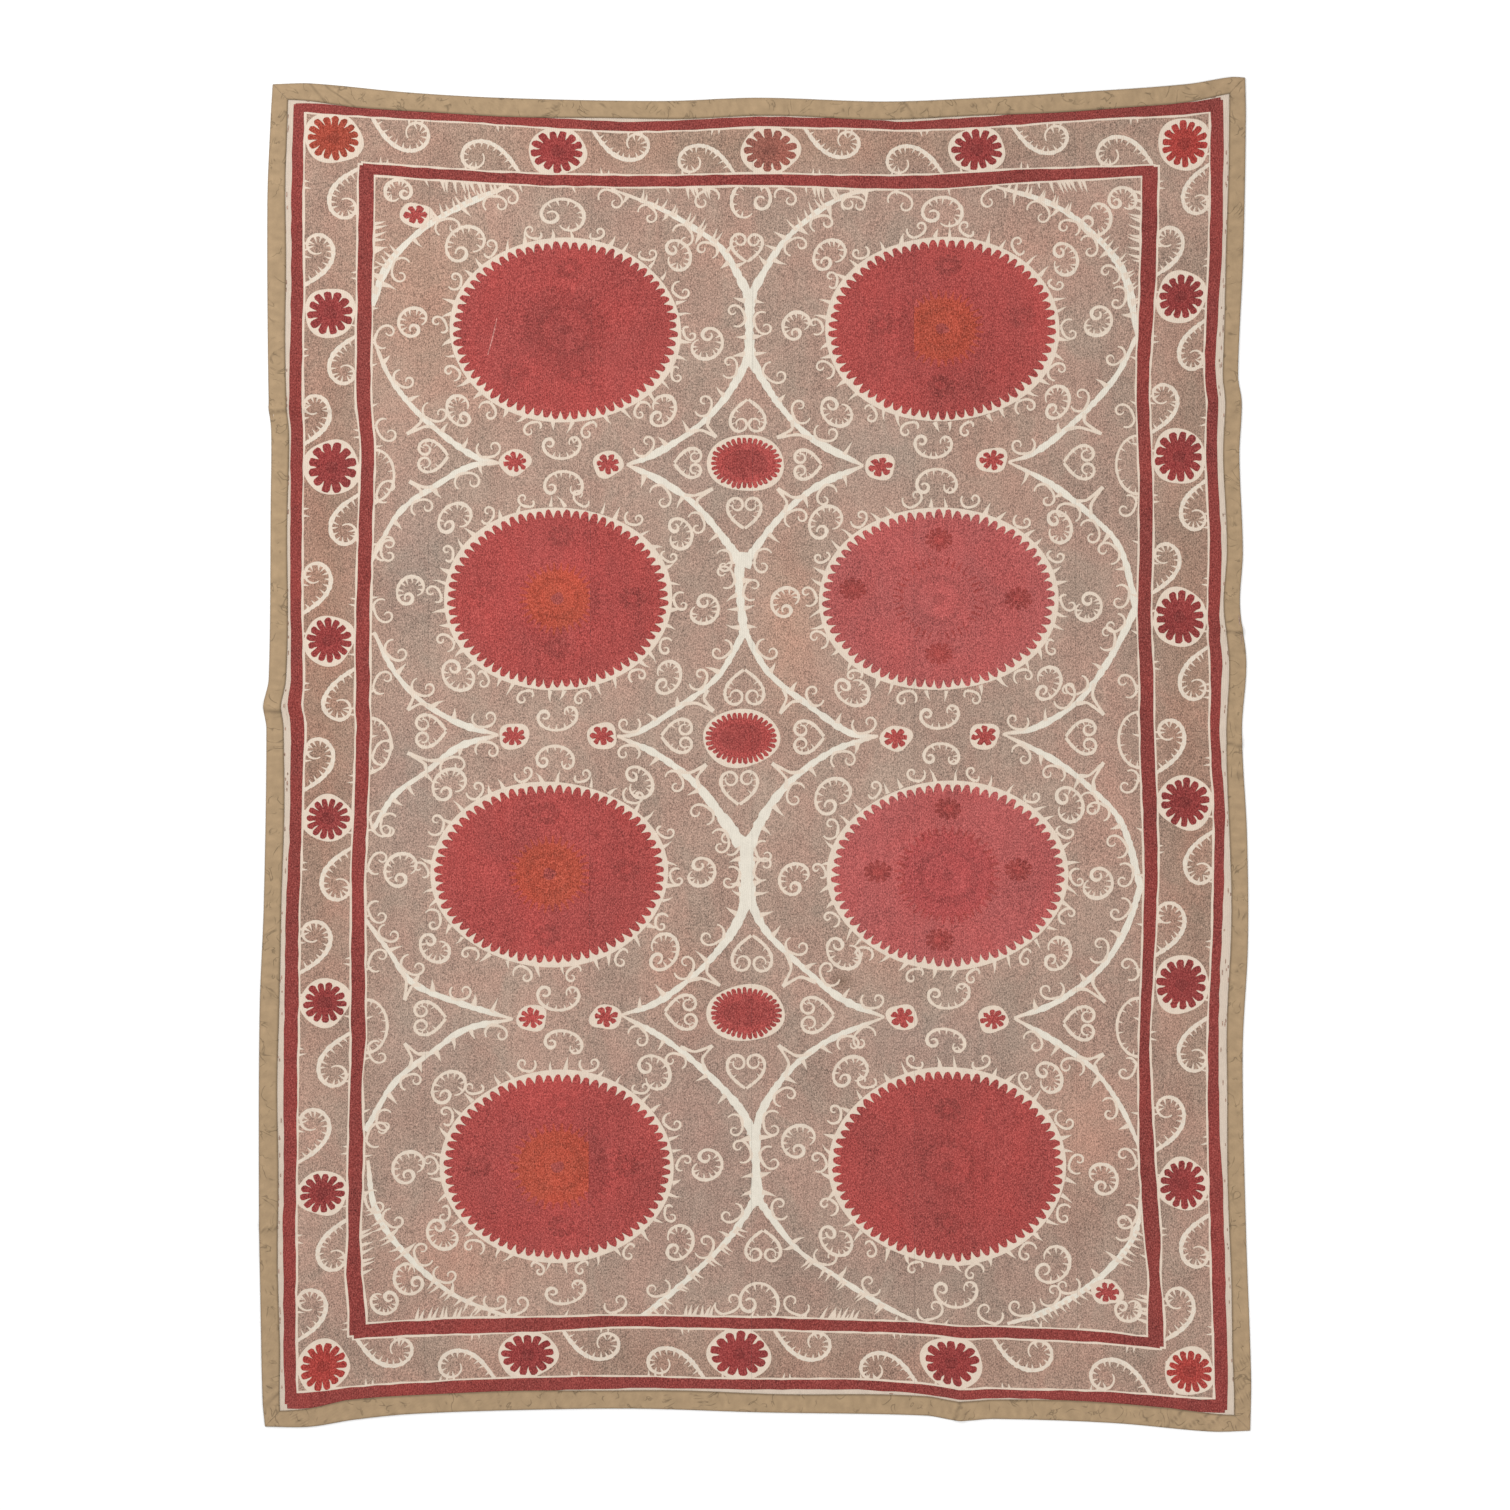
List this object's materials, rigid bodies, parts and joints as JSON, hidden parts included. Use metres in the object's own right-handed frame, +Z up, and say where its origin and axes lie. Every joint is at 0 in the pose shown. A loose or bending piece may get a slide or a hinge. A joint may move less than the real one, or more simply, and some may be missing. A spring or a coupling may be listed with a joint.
{
  "type": "embroidered textile",
  "caption": "Large flat-lying suzani: joined narrow lengths of cotton embroidered all over with medallions, vines and scrolls, edged with a folded binding.",
  "frame": {"origin": "centre of the bounding box, on the surface that the cloth lies on", "axes": "+X to the right of the picture across the cloth, +Y up the picture along its longest side, +Z up from the surface"},
  "size_m": [1.9346, 2.6402, 0.0087],
  "materials": {
    "stitched_cotton": "matt, densely stitched in cotton or silk thread",
    "binding_cotton": "matt plain weave"
  },
  "bodies": {
    "root": {"panel_1": "stitched_cotton", "panel_2": "stitched_cotton", "panel_3": "stitched_cotton", "panel_4": "stitched_cotton", "panel_5": "stitched_cotton", "panel_6": "stitched_cotton", "binding_left": "binding_cotton", "binding_right": "binding_cotton", "binding_top": "binding_cotton", "binding_bottom": "binding_cotton"}
  },
  "joints": []
}
